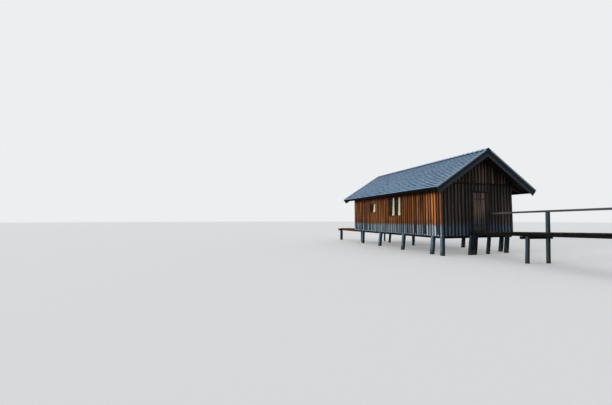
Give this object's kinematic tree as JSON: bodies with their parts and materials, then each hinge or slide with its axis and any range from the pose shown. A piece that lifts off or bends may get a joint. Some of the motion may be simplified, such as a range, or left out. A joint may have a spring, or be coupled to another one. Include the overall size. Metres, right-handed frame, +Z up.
{
  "type": "boathouse on piles",
  "caption": "Timber boathouse on round piles: boarded walls, shingled gable roof, hinged plank door, curtained windows, a railed jetty to the door and a narrow rear platform.",
  "frame": {"origin": "under the middle of the whole footprint, at the level of the piles' feet", "axes": "+Z up; the gable with the door and the jetty face -Y, the windowed side seen in the picture faces -X, and the ridge runs along Y"},
  "size_m": [6.3836, 18.7038, 5.3263],
  "materials": {
    "side_boards": "weathered sawn boards",
    "gable_boards": "dark stained sawn boards",
    "frame_timber": "sawn timber",
    "floor_boards": "worn planks",
    "roof_boards": "sawn boards",
    "shingles": "weathered grey shingles",
    "barge_boards": "dark painted boards, worn",
    "verge_strip": "bleached strip",
    "pile_timber": "wet peeled poles",
    "jetty_timber": "dark weathered planks",
    "door_boards": "dark stained planks",
    "iron": "black wrought iron",
    "window_timber": "dark painted timber",
    "glass": "old window glass",
    "curtain": "cream cotton"
  },
  "bodies": {
    "hut": {"barge_boards_front": "barge_boards", "barge_boards_rear": "barge_boards", "boat_gate": "gable_boards", "cross_sills": "frame_timber", "door_jambs": "door_boards", "door_lintel": "door_boards", "door_pintles": "iron", "door_threshold": "door_boards", "eave_fascias": "barge_boards", "floor": "floor_boards", "floor_joists": "frame_timber", "front_gable": "gable_boards", "front_wall_foot": "gable_boards", "front_wall_head": "gable_boards", "front_wall_left": "gable_boards", "front_wall_right": "gable_boards", "handrail": "jetty_timber", "jetty_crossbeams": "jetty_timber", "jetty_deck_inner": "jetty_timber", "jetty_deck_outer": "jetty_timber", "jetty_piles": "pile_timber", "jetty_stringers": "jetty_timber", "king_posts": "frame_timber", "landing_bearer": "jetty_timber", "left_wall": "side_boards", "middle_beam": "frame_timber", "piles_left": "pile_timber", "piles_middle": "pile_timber", "piles_right": "pile_timber", "platform_beam": "jetty_timber", "platform_deck": "jetty_timber", "platform_header": "jetty_timber", "platform_piles": "pile_timber", "rafters": "frame_timber", "rear_gable": "gable_boards", "rear_wall_head": "gable_boards", "rear_wall_left": "gable_boards", "rear_wall_right": "gable_boards", "ridge_beam": "frame_timber", "ridge_cap": "shingles", "right_wall": "side_boards", "roof_boards_left": "roof_boards", "roof_boards_right": "roof_boards", "roof_cover_left": "shingles", "roof_cover_right": "shingles", "side_sills": "frame_timber", "tie_beams": "frame_timber", "verge_caps": "verge_strip", "wall_plates": "frame_timber", "wall_posts": "frame_timber", "window_curtains": "curtain", "window_frames": "window_timber", "window_glass": "glass", "window_sills": "window_timber"},
    "door": {"door_leaf": "door_boards", "door_ledges": "door_boards", "door_straps": "iron", "door_handle": "iron"}
  },
  "joints": [
    {"name": "door_hinge", "type": "hinge", "parent": "hut", "child": "door", "pos_m": [-0.385, -2.57719, 2], "axis": [0, 0, -1], "range_deg": [0, 165]}
  ]
}
